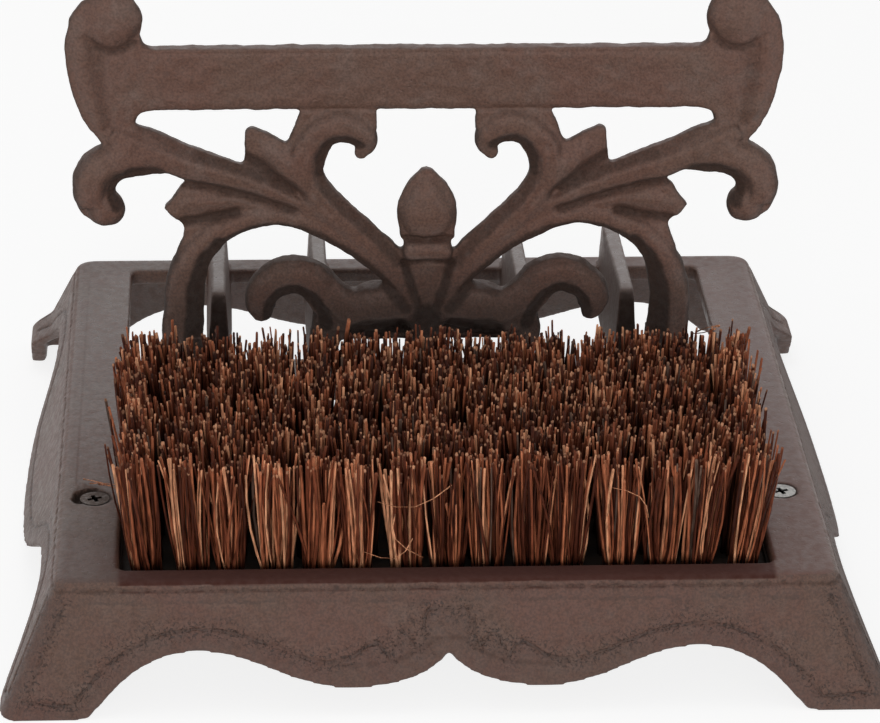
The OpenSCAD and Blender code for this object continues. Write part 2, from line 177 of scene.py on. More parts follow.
def face_frame(origin, along, up):
    """The frame of a casting's face: across it, up it, and out of it, in mm."""
    out = along.cross(up).normalized()
    placed = Matrix((along, up, out)).transposed().to_4x4()
    placed.translation = origin
    return Matrix.Scale(MM, 4) @ placed


def on_face(piece, face, reach):
    """A piece's points on one face: their numbers, their places across and up it, and its direction."""
    count = len(piece.data.vertices)
    places, normals = np.empty(count * 3), np.empty(count * 3)
    piece.data.vertices.foreach_get("co", places)
    piece.data.vertex_normals.foreach_get("vector", normals)
    back = np.array(face.inverted())
    local = places.reshape(-1, 3) @ back[:3, :3].T + back[:3, 3]
    out = np.array(face.to_3x3().col[2].normalized())
    chosen = np.flatnonzero((np.abs(local[:, 2]) < reach) & (normals.reshape(-1, 3) @ out > 0.35))
    return chosen, local[chosen, :2], out


def nearness(flat, points, half, soft, ragged=0.0):
    """How near places on a face are to a line: 1 within its half width, and 0 beyond its soft edge. A
    ragged line wanders and breaks up, as where the sand of a mould crumbled."""
    points = np.array(points, float)
    rim = half + soft + ragged
    fade = np.zeros(len(flat))
    near = np.flatnonzero(np.all((flat > points.min(0) - rim) & (flat < points.max(0) + rim), axis=1))
    if not len(near):
        return fade
    gap = np.full(len(near), 1e9)
    for start, end in zip(points[:-1], points[1:]):
        step = end - start
        share = np.clip((flat[near] - start) @ step / max(step @ step, 1e-9), 0, 1)
        gap = np.minimum(gap, np.linalg.norm(flat[near] - start - share[:, None] * step, axis=1))
    if ragged:
        gap += ragged * np.array([lumps.noise((x / 2.6, y / 2.6, half)) for x, y in flat[near]])
    fade[near] = np.clip((half + soft - gap) / soft, 0, 1)
    return fade * fade * (3 - 2 * fade)


def press(piece, face, lines, reach=2.5):
    """Presses lines into a casting's face, or raises them where the depth is negative. A line is its points
    across and up the face, its half width, its soft edge's width, its depth and its raggedness, in mm."""
    chosen, flat, out = on_face(piece, face, reach)
    raised, sunk = np.zeros(len(chosen)), np.zeros(len(chosen))
    for points, half, soft, depth, ragged in lines:
        fade = nearness(flat, points, half, soft, ragged)
        if depth > 0:
            sunk = np.maximum(sunk, fade * depth)
        else:
            raised = np.maximum(raised, -fade * depth)
    places = np.empty(len(piece.data.vertices) * 3)
    piece.data.vertices.foreach_get("co", places)
    places = places.reshape(-1, 3)
    places[chosen] += np.outer((raised - sunk) * MM, out)
    piece.data.vertices.foreach_set("co", places.ravel())
    piece.data.update()


def past_outline(flat, outline, most=6.0):
    """How far places on a face lie outside a closed outline, or below 0 inside it, in mm up to a limit."""
    outline = np.array(outline, float)
    gap, inside = np.full(len(flat), most), np.zeros(len(flat), bool)
    for start, end in zip(outline, np.roll(outline, -1, axis=0)):
        step = end - start
        share = np.clip((flat - start) @ step / max(step @ step, 1e-9), 0, 1)
        gap = np.minimum(gap, np.linalg.norm(flat - start - share[:, None] * step, axis=1))
        spans = (start[1] > flat[:, 1]) != (end[1] > flat[:, 1])
        rise = step[1] if abs(step[1]) > 1e-9 else 1e-9
        inside ^= spans & (flat[:, 0] < start[0] + (flat[:, 1] - start[1]) * step[0] / rise)
    return np.where(inside, -gap, gap)


def both_sides(lines):
    """Lines of a face, with their mirror images."""
    return lines + [([(-x, z) for x, z in points], *rest) for points, *rest in lines]


def bend(*corners):
    """Points along smooth curves, given as corners and handles in turn."""
    points = []
    for first in range(0, len(corners) - 1, 3):
        four = [Vector((*corner, 0)) for corner in corners[first:first + 4]]
        points += [point.xy for point in geometry.interpolate_bezier(*four, 16)]
    return points


def beside(points, distance):
    """A line that runs beside another one, on its upper side."""
    moved = []
    for index, point in enumerate(points):
        step = points[min(index + 1, len(points) - 1)] - points[max(index - 1, 0)]
        moved.append(point + Vector((step.y, -step.x)).normalized() * distance)
    return moved


def mirrored(points):
    """A half line from its outer end to the middle, and on to the other end."""
    return [(x, z) for x, z in points] + [(-x, z) for x, z in reversed(points)]


base = cad_copy("base_frame", "cast_base")
apply(base, "REMESH", mode="VOXEL", voxel_size=BASE_VOXEL, adaptivity=0)
apply(base, "SMOOTH", factor=0.5, iterations=8)

# The flat top's outer edge and the feet's inner ends are worn round.
places = np.empty(len(base.data.vertices) * 3)
base.data.vertices.foreach_get("co", places)
places = places.reshape(-1, 3)
across, along, up = (places / MM).T
inside = np.maximum(np.abs(across) - TOP_HALF[0], np.abs(along) - TOP_HALF[1])
rim = (np.abs(inside) < 4.5) & (up > TOP_HEIGHT - 4.5)
for run, foot_end in ((0, 103), (1, 114.5)):
    here, there = (across, along) if run == 0 else (along, across)
    rim |= (np.abs(np.abs(here) - foot_end) < 3.5) & (np.abs(there) > 108) & (up < 3.5)
worn_rim = base.vertex_groups.new(name="worn_rim")
worn_rim.add(np.flatnonzero(rim).tolist(), 1.0, "REPLACE")
apply(base, "SMOOTH", factor=0.5, iterations=45, vertex_group="worn_rim")
base.vertex_groups.clear()

# The rear feet end upright, where the slope above them leans out.
base.data.vertices.foreach_get("co", places.ravel())
across, along, up = (places / MM).T
FOOT_RISE, FOOT_KICK = 9, 0.43
fade = np.clip((up - FOOT_RISE) / 7, 0, 1)
at_rear_feet = np.clip((along - 98) / 8, 0, 1) * (np.abs(across) > 100)
kick = FOOT_KICK * np.clip(up, 0, FOOT_RISE) * (1 - fade * fade * (3 - 2 * fade)) * at_rear_feet
places[:, 0] += np.sign(across) * kick * MM

long_edge = bend((103, 0), (96, 8.8), (87, 17.6), (72, 17.6), (55.7, 17.6), (45.6, 7.5), (28, 7.5),
                 (14, 7.5), (4.5, 11.2), (0, 16.7))
side_edge = bend((114.5, 0), (107.5, 11.5), (99, 23), (84, 23), (72, 23), (65, 22.5), (57, 18),
                 (49, 13.5), (41, 7.6), (28, 6.2), (18, 5.1), (9, 4), (0, 4))

# The side aprons' middle lobes are fuller than the CAD's, so the skirt is stretched to their edge, from FOLD
# down.
FOLD = 33
ARCH_TOP = 84
SKIRT_DEPTH = 9
plain_edge = bend((114.5, 0), (107.5, 11.5), (99, 23), (ARCH_TOP, 23), (52.9, 23), (33.6, 4), (0, 4))
plain, full = (np.interp(np.abs(along), *zip(*reversed(edge))) for edge in (plain_edge, side_edge))
outer_face = TOP_HALF[0] + SIDE_FLARE * (TOP_HEIGHT - up)
skirt = (up < FOLD) & (np.abs(across) > outer_face - SKIRT_DEPTH) & (np.abs(along) < ARCH_TOP)
lift = np.where(skirt, (FOLD - up) * (1 - (FOLD - full) / (FOLD - plain)), 0)
places[:, 0] -= np.sign(across) * SIDE_FLARE * lift * MM
places[:, 2] += lift * MM
base.data.vertices.foreach_set("co", places.ravel())
base.data.update()

# Border lines are cast into all four aprons, and a leaf ornament with raised lobes into the front and rear
# ones.
palmette = [(32, 15), (28.2, 15.8), (25.4, 17.4), (23, 19.2), (20.6, 20), (18.7, 18), (17, 15.6),
            (15.6, 18.7), (14.6, 21.4), (13.4, 22.8), (12, 22.3), (10.5, 20.5), (9.1, 18.5), (7.8, 20.1),
            (7.3, 22.7), (7.2, 25.9), (6, 28.1), (4.3, 29)]
PALMETTE_END = 34
BORDER_INSET, BORDER_RISE, TOP_LINE = 5, 6.2, 34
lobes = both_sides([
    ([(2.4, 19), (2.4, 26.4)], 2.6, 1.2, -0.6, 0.3),
    ([(10.6, 16.2), (13.2, 20.8)], 1.2, 1.4, -0.6, 0.3),
    ([(17.8, 14), (21, 17.6)], 1.2, 1.4, -0.5, 0.3),
])
aprons = []
for out, edge, run in (
    (Vector((0, -1, 0)), long_edge, 1),
    (Vector((1, 0, 0)), side_edge, 0),
    (Vector((0, 1, 0)), long_edge, 1),
    (Vector((-1, 0, 0)), side_edge, 0),
):
    flare = (FOOT_HALF[run] - TOP_HALF[run]) / TOP_HEIGHT
    face = face_frame(out * FOOT_HALF[run], Vector((-out.y, out.x, 0)), Vector((0, 0, 1)) - out * flare)
    widen = (FOOT_HALF[1 - run] - TOP_HALF[1 - run]) / TOP_HEIGHT
    corner = [(TOP_HALF[1 - run] + widen * (TOP_HEIGHT - z) - BORDER_INSET, z) for z in (30.8, 24, 14, 5)]
    low_line = [(point.x, point.y) for point in beside(edge, BORDER_RISE)]
    field = corner + low_line
    if run:
        field = corner + [point for point in low_line if point[0] > PALMETTE_END] + palmette
    field = mirrored(field)
    top_line = mirrored([(TOP_HALF[1 - run], TOP_LINE), (0, TOP_LINE)])
    borders = [(field, 0.1, 0.9, 0.5, 0.4), (top_line, 0.1, 0.7, 0.4, 1.1)]
    under = mirrored([point for point in low_line if 4 < point[0] < PALMETTE_END]) if run else field[:1] * 2
    press(base, face, borders + ([(under, 0.1, 0.9, 0.3, 0.6)] + lobes if run else []))
    aprons.append((face, field, top_line, under, mirrored([(point.x, point.y) for point in edge])))

# Where lines and edges run, the mesh stays fine.
count = len(base.data.vertices)
places = np.empty(count * 3)
base.data.vertices.foreach_get("co", places)
places = places.reshape(-1, 3)
free = np.ones(count, bool)
rims = []
for face, field, top_line, under, edge in aprons:
    chosen, flat, _ = on_face(base, face, 2.5)
    for line in (field, top_line, under):
        free[chosen[nearness(flat, line, 0.8, 0.2) > 0]] = False
    back = np.array(face.inverted())
    local = places @ back[:3, :3].T + back[:3, 3]
    near = np.flatnonzero((local[:, 2] > -7) & (local[:, 2] < 1.5))
    rims.extend(near[nearness(local[near, :2], edge, 1.0, 0.2) > 0])
free[rims] = False


def arc(radius, first, last):
    """Points round a screw, from one angle to another in degrees."""
    angles = np.radians(range(first, last + 1, 5))
    return [(radius * math.cos(angle), radius * math.sin(angle)) for angle in angles]


# The left screw's sink is too wide at the left and rear, and a black gap shows there.
SCREW = (102.5, -63)
GAP_RADIUS, HEAD_RADIUS = 5.4, 4.75
top_faces = [
    face_frame(Vector((side * SCREW[0], SCREW[1], TOP_HEIGHT)), Vector((1, 0, 0)), Vector((0, 1, 0)))
    for side in (-1, 1)
]
crescent = arc(GAP_RADIUS, 95, 210)
ring = arc(HEAD_RADIUS, 0, 360)
press(base, top_faces[0], [(crescent, 0.7, 0.5, 2.6, 0.4)])
for face in top_faces:
    chosen, flat, _ = on_face(base, face, 2)
    free[chosen[np.linalg.norm(flat, axis=1) < 7]] = False
base.vertex_groups.new(name="rims").add([int(index) for index in rims], 1.0, "REPLACE")
apply(base, "SMOOTH", factor=0.5, iterations=10, vertex_group="rims")
base.vertex_groups.new(name="free").add(np.flatnonzero(free).tolist(), 1.0, "REPLACE")
apply(base, "DECIMATE", ratio=min(1, BASE_TRIANGLES / (2 * len(base.data.polygons))), vertex_group="free")
base.vertex_groups.clear()
take(base)
bpy.ops.object.shade_smooth()

# Painted shade, a painted sheen, wear and pits on the casting. The aprons' border lines are kept as a
# distance, so that they stay thin. It is stored with a shift, so that a mesh without it, which reads 0,
# counts as far inside.
BORDER_SHIFT = 10
count = len(base.data.vertices)
pitted, recess, wear_and_sheen = np.zeros(count), np.zeros(count), np.zeros(count)
border, outside, nearest = np.zeros(count), np.zeros(count), np.full(count, 9.0)
places, normals = np.empty(count * 3), np.empty(count * 3)
base.data.vertices.foreach_get("co", places)
base.data.vertex_normals.foreach_get("vector", normals)
places, normals = places.reshape(-1, 3), normals.reshape(-1, 3)
across, along, up = (places / MM).T
for face, field, top_line, under, edge in aprons:
    back = np.array(face.inverted())
    local = places @ back[:3, :3].T + back[:3, 3]
    near = np.flatnonzero(np.abs(local[:, 2]) < nearest)
    nearest[near] = np.abs(local[near, 2])
    border[near] = BORDER_SHIFT + past_outline(local[near, :2], field)
    chosen, flat, _ = on_face(base, face, 2.5)
    outside[chosen] = np.clip((33 - flat[:, 1]) / 1.5, 0, 1)
    pitted[chosen] = np.maximum(pitted[chosen], 0.95 * nearness(flat, field, 0.8, 3.0, 1.2))
    # painted shade in the grooves of the top line and of the line under the ornament
    recess[chosen] = np.maximum(recess[chosen], 0.35 * nearness(flat, top_line, 0.05, 0.7, 0.6))
    recess[chosen] = np.maximum(recess[chosen], 0.3 * nearness(flat, under, 0.05, 0.8, 0.7))
    pitted[chosen] = np.maximum(pitted[chosen], 0.5 * nearness(flat, top_line, 0.3, 1.4, 0.9))
# painted shade in the gap beside the left screw, and in the seam round each screw head
for face, line, half, shade in (
    (top_faces[0], crescent, 1.2, 1.0), (top_faces[0], ring, 0.2, 1.0), (top_faces[1], ring, 0.2, 0.9),
):
    flat = np.column_stack((across, along)) - np.array(face.translation.xy / MM)
    chosen = np.flatnonzero((np.hypot(*flat.T) < 8) & (up > TOP_HEIGHT - 4))
    recess[chosen] = np.maximum(recess[chosen], shade * nearness(flat[chosen], line, half, 0.5, 0.3))
# painted shade on the flat top's rear strip, behind the panel
level = np.clip((normals[:, 2] - 0.5) / 0.2, 0, 1) * (up > TOP_HEIGHT - 3)
recess = np.maximum(recess, 0.22 * level * (along > 106))

# The right apron gets painted shade, darker than the other aprons.
right_side = (across > 100) & (up < TOP_HEIGHT - 2)
facing_right = np.clip((normals[right_side, 0] - 0.6) / 0.2, 0, 1)
recess[right_side] = np.maximum(recess[right_side], 0.5 * facing_right)

# The grate's ribs are lighter along the top, as rubbed by boots and as a painted sheen; their sides get
# painted shade, and their front ends a painted shadow of the panel.
ribs = (along > 44) & (along < 112) & (up > TOP_HEIGHT + 1)
wear_and_sheen[ribs] = 0.6 * np.clip(normals[ribs, 2], 0, 1)
flanks = (along > 44) & (along < 106) & (np.abs(across) < 90) & (up > 20)
recess[flanks] = np.maximum(recess[flanks], 0.45 * np.clip(np.abs(normals[flanks, 0]), 0, 1))
front_ends = (along > 44) & (along < 52) & (up > 26)
recess[front_ends] = np.maximum(recess[front_ends], np.clip(-normals[front_ends, 1], 0, 1))
for label, values in (
    ("pitted", pitted), ("recess", recess), ("wear_and_sheen", wear_and_sheen), ("border", border), ("outside", outside),
):
    base.data.attributes.new(label, "FLOAT", "POINT").data.foreach_set("value", values)


def new_group(name, inputs, outputs):
    """A shader node group with named sockets. Returns it with its two end nodes."""
    group = bpy.data.node_groups.new(name, "ShaderNodeTree")
    for label, kind, value in inputs:
        socket = group.interface.new_socket(label, in_out="INPUT", socket_type="NodeSocket" + kind)
        socket.default_value = value
    for label, kind in outputs:
        group.interface.new_socket(label, in_out="OUTPUT", socket_type="NodeSocket" + kind)
    return group, group.nodes.new("NodeGroupInput"), group.nodes.new("NodeGroupOutput")


def noise(tree, place, scale, detail, roughness=0.55):
    """A noise that is the same in every piece, in features per metre."""
    settings = {"Vector": place, "Scale": scale, "Detail": detail, "Roughness": roughness}
    return add_node(tree, "TexNoise", settings).outputs[0]


def spread(tree, value, low, high, to_low=0.0, to_high=1.0):
    """Stretches a value from one range to another, smoothly."""
    return add_node(tree, "MapRange", {0: value, 1: low, 2: high, 3: to_low, 4: to_high},
                    interpolation_type="SMOOTHSTEP").outputs[0]


def blend(tree, share, first, second, how="MIX"):
    """Mixes two colours."""
    mixed = add_node(tree, "Mix", {0: share, 6: first, 7: second}, data_type="RGBA", blend_type=how)
    return mixed.outputs[2]


def times(tree, first, second, how="MULTIPLY"):
    """Joins two numbers."""
    return add_node(tree, "Math", {0: first, 1: second}, operation=how).outputs[0]


def shaded(tree, colour, value):
    """A colour made lighter or darker by a value."""
    grey = add_node(tree, "CombineColor", {0: value, 1: value, 2: value}).outputs[0]
    return blend(tree, 1.0, colour, grey, "MULTIPLY")


def painted(tree, label):
    """A value painted on the mesh."""
    return add_node(tree, "Attribute", attribute_name=label).outputs["Fac"]


# The skin of a sand casting: brown patches, fine grain, small pits, and edges made lighter, as rubbed and as
# a painted highlight. Painted shade, a painted sheen and a painted reflection of the brush are laid over it.
skin, skin_in, skin_out = new_group(
    "sand_cast_skin",
    [("Brown", "Color", (0.108, 0.058, 0.041, 1)), ("Red", "Color", (0.112, 0.053, 0.038, 1)),
     ("Grey", "Color", (0.128, 0.078, 0.060, 1)), ("Recess", "Float", 0.0), ("Pitted", "Float", 0.0),
     ("Wear_and_sheen", "Float", 0.0), ("Border", "Float", 0.0), ("Outside", "Float", 0.0)],
    [("Color", "Color"), ("Roughness", "Float"), ("Height", "Float")],
)
spot = add_node(skin, "TexCoord").outputs["Object"]
patches = spread(skin, noise(skin, spot, 38, 3), 0.38, 0.62)
tone = blend(skin, patches, skin_in.outputs["Red"], skin_in.outputs["Brown"])
dusty = spread(skin, noise(skin, spot, 90, 4, 0.65), 0.5, 0.75, 0, 0.7)
tone = blend(skin, dusty, tone, skin_in.outputs["Grey"])
fine = noise(skin, spot, 1300, 2)
grain = spread(skin, fine, 0.3, 0.7, 0.74, 1.24)
tone = shaded(skin, tone, grain)
shape = add_node(skin, "NewGeometry")
# edges lighter where the mesh is pointed: rubbed, and a painted highlight along ridges and corners
edge_wear_and_highlight = spread(skin, shape.outputs["Pointiness"], 0.52, 0.6, 0, 0.3)
tone = blend(skin, edge_wear_and_highlight, tone, (0.2, 0.15, 0.13, 1))
# a thin, broken border line, which is painted shade in the cast groove, and the slightly darker band outside
# it
gap = times(skin, skin_in.outputs["Border"], -BORDER_SHIFT, "ADD")
band = times(skin, spread(skin, gap, 0.0, 0.8, 0, 0.16), skin_in.outputs["Outside"])
tone = blend(skin, band, tone, (0.035, 0.016, 0.016, 1))
wander = spread(skin, noise(skin, spot, 420, 3), 0.3, 0.7, -0.35, 0.35)
off_line = add_node(skin, "Math", {0: times(skin, gap, wander, "ADD")}, operation="ABSOLUTE").outputs[0]
broken = spread(skin, noise(skin, spot, 130, 3), 0.38, 0.58, 0.15, 0.55)
broken = times(skin, broken, skin_in.outputs["Outside"])
line = times(skin, spread(skin, off_line, 0.1, 0.65, 1, 0), broken)
tone = blend(skin, line, tone, (0.02, 0.011, 0.008, 1))
# the flat top: a warmer brown at the right, a darker one at the front left, and a painted dark red-brown
# reflection and shadow of the brush on the strip before it
x, y, z = add_node(skin, "SeparateXYZ", {0: spot}).outputs
upright = add_node(skin, "SeparateXYZ", {0: shape.outputs["Normal"]}).outputs[2]
flat_top = spread(skin, upright, 0.85, 0.97)
warm = times(skin, spread(skin, x, -0.09, 0.1, 0, 0.55), flat_top)
tone = blend(skin, warm, tone, (0.165, 0.062, 0.045, 1))
near_front = times(skin, spread(skin, y, -0.108, -0.06, 0.5, 0), spread(skin, x, -0.08, 0.06, 1, 0.2))
tone = blend(skin, times(skin, near_front, flat_top), tone, (0.06, 0.024, 0.017, 1))
# painted reflection and shadow of the brush on the strip before it; it is made rougher there too
aside = add_node(skin, "Math", {0: x}, operation="ABSOLUTE").outputs[0]
brush_reflection = times(skin, spread(skin, aside, 0.0935, 0.0955, 0.88, 0), spread(skin, y, -0.1095, -0.1085, 1, 0))
brush_reflection = times(skin, times(skin, brush_reflection, spread(skin, upright, 0.5, 0.7)), spread(skin, z, 0.033, 0.034))
tone = blend(skin, brush_reflection, tone, (0.043, 0.008, 0.004, 1))
# painted shade, as much as the Recess value says
tone = blend(skin, times(skin, skin_in.outputs["Recess"], 0.9), tone, (0.017, 0.009, 0.006, 1))
crumbs = noise(skin, spot, 1250, 2, 0.6)
holes = times(skin, spread(skin, crumbs, 0.36, 0.44, 1, 0), skin_in.outputs["Pitted"])
tone = blend(skin, times(skin, holes, 0.8), tone, (0.022, 0.012, 0.009, 1))
# lighter on the ribs' tops: wear, and a painted sheen
tone = blend(skin, times(skin, skin_in.outputs["Wear_and_sheen"], 0.8), tone, (0.21, 0.17, 0.155, 1))
coarse = noise(skin, spot, 420, 3)
height = times(skin, times(skin, fine, 0.7), times(skin, coarse, 0.5), "ADD")
pits = spread(skin, noise(skin, spot, 700, 1), 0.24, 0.34, -0.8, 0)
height = times(skin, height, pits, "ADD")
level = times(skin, spread(skin, upright, 0.85, 0.97, 0, -0.14), spread(skin, y, -0.12, 0.09, 0.55, 1.4))
height = times(skin, height, spread(skin, upright, 0.85, 0.97, 1, 0.4))
skin.links.new(tone, skin_out.inputs["Color"])
rough = times(skin, spread(skin, coarse, 0.3, 0.7, 0.44, 0.6), level, "ADD")
dull = times(skin, times(skin, skin_in.outputs["Recess"], brush_reflection, "MAXIMUM"), 0.4)
skin.links.new(times(skin, rough, dull, "ADD"), skin_out.inputs["Roughness"])
height = times(skin, height, times(skin, line, -1.5), "ADD")
skin.links.new(times(skin, height, times(skin, holes, -1.4), "ADD"), skin_out.inputs["Height"])


def cast_iron(name, tones):
    """A cast iron finish, with its own tones of the sand-cast skin."""
    made = bpy.data.materials.new(name)
    made.use_nodes = True
    tree = made.node_tree
    surface = tree.nodes["Principled BSDF"]
    surface.inputs["Specular IOR Level"].default_value = 0.65
    skin_node = tree.nodes.new("ShaderNodeGroup")
    skin_node.node_tree = skin
    for label, colour in tones.items():
        skin_node.inputs[label].default_value = colour
    for label in ("Recess", "Pitted", "Wear_and_sheen", "Border", "Outside"):
        tree.links.new(painted(tree, label.lower()), skin_node.inputs[label])
    tree.links.new(skin_node.outputs["Color"], surface.inputs["Base Color"])
    tree.links.new(skin_node.outputs["Roughness"], surface.inputs["Roughness"])
    relief = add_node(tree, "Bump", {
        "Height": skin_node.outputs["Height"], "Strength": 0.75, "Distance": 0.00025})
    tree.links.new(relief.outputs[0], surface.inputs["Normal"])
    return made


iron = cast_iron("brown_cast_iron", {})
base.data.materials.append(iron)
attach(base, "root")
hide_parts("base_frame")

# Scraper panel
# One flat-backed iron casting, bolted to the cross member: the straight blade between two tall scrolls, on
# scrollwork of curls, leaves and arches that rises from two legs and a middle stem with a bud.
# MID is the middle plane of the scrollwork, and SINK how far it sits below its CAD height.
MID = 40.2
SINK = 0.8
PANEL_VOXEL = 0.5 * MM
PANEL_TRIANGLES = 180000
panel_face = face_frame(Vector((0, MID, -SINK)), Vector((1, 0, 0)), Vector((0, 0, 1)))


def section(name, outline):
    """A curl's cross section, in shares of its half width: across it, and towards the front."""
    drawn = bpy.data.curves.new(name, "CURVE")
    drawn.dimensions = "2D"
    drawn.fill_mode = "NONE"
    spline = drawn.splines.new("POLY")
    spline.points.add(len(outline) - 1)
    for point, (across, out) in zip(spline.points, outline):
        point.co = (across, out, 0, 1)
    spline.use_cyclic_u = True
    holder = bpy.data.objects.new(name, drawn)
    bpy.context.collection.objects.link(holder)
    return holder


def as_mesh(curve, name, lift):
    """Makes a drawn curve a mesh in the panel's place, so far out of its middle plane."""
    piece = bpy.data.objects.new(name, curve)
    bpy.context.collection.objects.link(piece)
    take(piece)
    bpy.ops.object.convert(target="MESH")
    piece = bpy.context.object
    piece.data.transform(panel_face @ Matrix.Translation((0, 0, lift)))
    return piece


def curl(points, profile, lift=0.0):
    """A curl of the scrollwork: a ridge swept through points across, up, and of a full width."""
    drawn = bpy.data.curves.new("curl", "CURVE")
    drawn.dimensions = "2D"
    drawn.fill_mode = "NONE"
    drawn.resolution_u = 6
    drawn.bevel_mode = "OBJECT"
    drawn.bevel_object = profile
    drawn.use_fill_caps = True
    spline = drawn.splines.new("BEZIER")
    spline.bezier_points.add(len(points) - 1)
    spline.radius_interpolation = "CARDINAL"
    for point, (across, up, width) in zip(spline.bezier_points, points):
        point.co = (across, up, 0)
        point.handle_left_type = point.handle_right_type = "AUTO"
        point.radius = width / 2
    return as_mesh(drawn, "curl", lift)


def plate(outline, front, back, rounding):
    """A flat part of the panel with a rounded rim: its outline, and how far it stands out each way."""
    drawn = bpy.data.curves.new("plate", "CURVE")
    drawn.dimensions = "2D"
    drawn.fill_mode = "BOTH"
    drawn.extrude = (front - back) / 2 - rounding
    drawn.bevel_depth = rounding
    drawn.bevel_resolution = 3
    drawn.offset = -rounding
    spline = drawn.splines.new("POLY")
    spline.points.add(len(outline) - 1)
    for point, (across, up) in zip(spline.points, outline):
        point.co = (across, up, 0, 1)
    spline.use_cyclic_u = True
    return as_mesh(drawn, "plate", (front + back) / 2)


def ball(across, up, radius, front):
    """The round end of a scroll."""
    bpy.ops.object.select_all(action="DESELECT")
    bpy.ops.mesh.primitive_uv_sphere_add(segments=32, ring_count=16, radius=1)
    piece = bpy.context.object
    shape = Matrix.Diagonal((radius, radius, front, 1))
    piece.data.transform(panel_face @ Matrix.Translation((across, up, 0)) @ shape)
    return piece


def sloped(name, crest, side):
    """A curl's section with a broad outer face and a steep slope on its inner side."""
    outline = [(-1, -0.35), (-1, 0.15), (-0.92, 0.45), (-0.72, 0.68), (-0.4, 0.79), (crest, 0.84),
               (crest + 0.07, 0.8), (0.97, 0.02), (1, -0.35)]
    return section(name, [(side * across, out) for across, out in outline])


broad_left, broad_right = sloped("broad_left", 0.2, -1), sloped("broad_right", 0.2, 1)
steep_right = sloped("steep_right", 0.0, 1)
thin_right = sloped("thin_right", 0.5, 1)
lobe = section("lobe", [(-1, -0.3), (-0.95, 0.12), (-0.7, 0.42), (-0.35, 0.62), (0, 0.7), (0.35, 0.62),
                        (0.7, 0.42), (0.95, 0.12), (1, -0.3)])

half_panel = [
    # heart-shaped curl
    curl([(2.5, 46, 6), (6, 60, 9), (11.2, 68.8, 9.5), (20.2, 78.2, 9.5), (29.3, 86.7, 10),
          (35.8, 94.8, 10), (38, 102.5, 11), (33.5, 112.3, 11), (27.2, 115, 11), (21.6, 113.5, 10),
          (19, 109.5, 7.6), (20.4, 106.4, 4.6)], broad_left),
    # arch and leg
    curl([(4.5, 52, 5), (9.8, 62.5, 6.5), (16.5, 69.3, 7), (25.5, 76.2, 6.8), (35, 81.2, 6.4),
          (46, 85, 6.2), (57, 83.6, 7), (65.5, 80, 8.6)], thin_right),
    curl([(52, 84.8, 5), (59, 83, 7), (65.5, 80, 8.6), (71.8, 74, 9.8), (75.3, 67.5, 11.6), (77, 60, 12.6),
          (77.5, 50, 13), (77.5, 38, 13)], steep_right),
    # rising arm
    curl([(22, 79, 6), (40, 89.5, 7), (58, 97.5, 9), (75, 103.2, 11), (89, 109.5, 11), (98, 114, 9)],
         broad_left),
    # tall outer scroll, its rim and its eye
    plate([(92, 113), (98, 111), (102.1, 110.2), (105, 116), (107.8, 122), (110.2, 129), (111.5, 136),
           (111.7, 142), (110, 150.8), (106, 156.5), (100, 159.4), (94, 159.4), (89, 156), (87.4, 151),
           (88.6, 146), (87.4, 142.4), (84.5, 140.6), (84.5, 121.6), (89.6, 119.4)], 1.9, -2.4, 1.6),
    curl([(99, 112, 7), (102.6, 121, 9.5), (105, 129, 9.5), (106.2, 136, 9.5), (106.2, 143, 9.5),
          (104, 150, 10), (100, 154, 9)], lobe, -0.1),
    ball(97, 150.4, 9.8, 4.9),
    # drooping outer curl
    curl([(80, 102, 6), (88, 104.2, 9), (95, 104.2, 12), (101.6, 101.2, 13.5), (104.5, 95.3, 13.5),
          (103.6, 89.5, 12)], broad_right),
    ball(101, 88, 6.2, 5),
    # low scroll, and its neck that hangs down behind the brush
    curl([(5, 52.5, 12), (14, 52.7, 17.2), (24.5, 51.6, 15), (32.3, 57.4, 12.5), (36.3, 62.3, 12.2),
          (43, 64.4, 11.8), (50.3, 61, 11.2), (52.9, 55.3, 10.4), (52.2, 51.8, 8.6)], broad_right, -0.8),
    curl([(31, 54, 8), (31.6, 47, 10), (31.8, 42, 10.6), (31.6, 38.5, 9)], lobe, -0.8),
    # leaves
    curl([(26, 82, 5), (34, 91.5, 8), (42, 100.5, 11), (49, 107.5, 9), (55, 113.4, 2.5)], lobe),
    curl([(40, 86.8, 4), (54, 89.6, 6.5), (68, 90.2, 8), (77, 89, 6.5), (81.5, 87.8, 2.5)], lobe),
    plate([(30, 88), (36, 100), (38, 111), (44.3, 108.9), (49, 111.4), (53.4, 113.6), (55.6, 112),
           (56.2, 103), (48, 95)], 1.7, -2, 0.8),
    plate([(38, 86), (60, 95), (75.6, 95.4), (78, 92.6), (80.8, 90.2), (82.9, 88), (80.4, 86), (76.8, 83.8),
           (75.6, 81.4), (73, 79), (60, 84)], 1.6, -2, 0.6),
]
panel = join(half_panel, "cast_panel")
apply(panel, "MIRROR", use_axis=(True, False, False), use_mirror_merge=False)

# The CAD's panel, thinned above its feet, is the slab that the ridges stand out of.
slab = cad_copy("scraper_panel", "slab")
for vertex in slab.data.vertices:
    thin = min(1, max(0, (vertex.co.z / MM - 44) / 6))
    vertex.co.y += thin * ((MID - 0.2) * MM + 0.45 * (vertex.co.y - 41 * MM) - vertex.co.y)
    vertex.co.z -= thin * SINK * MM

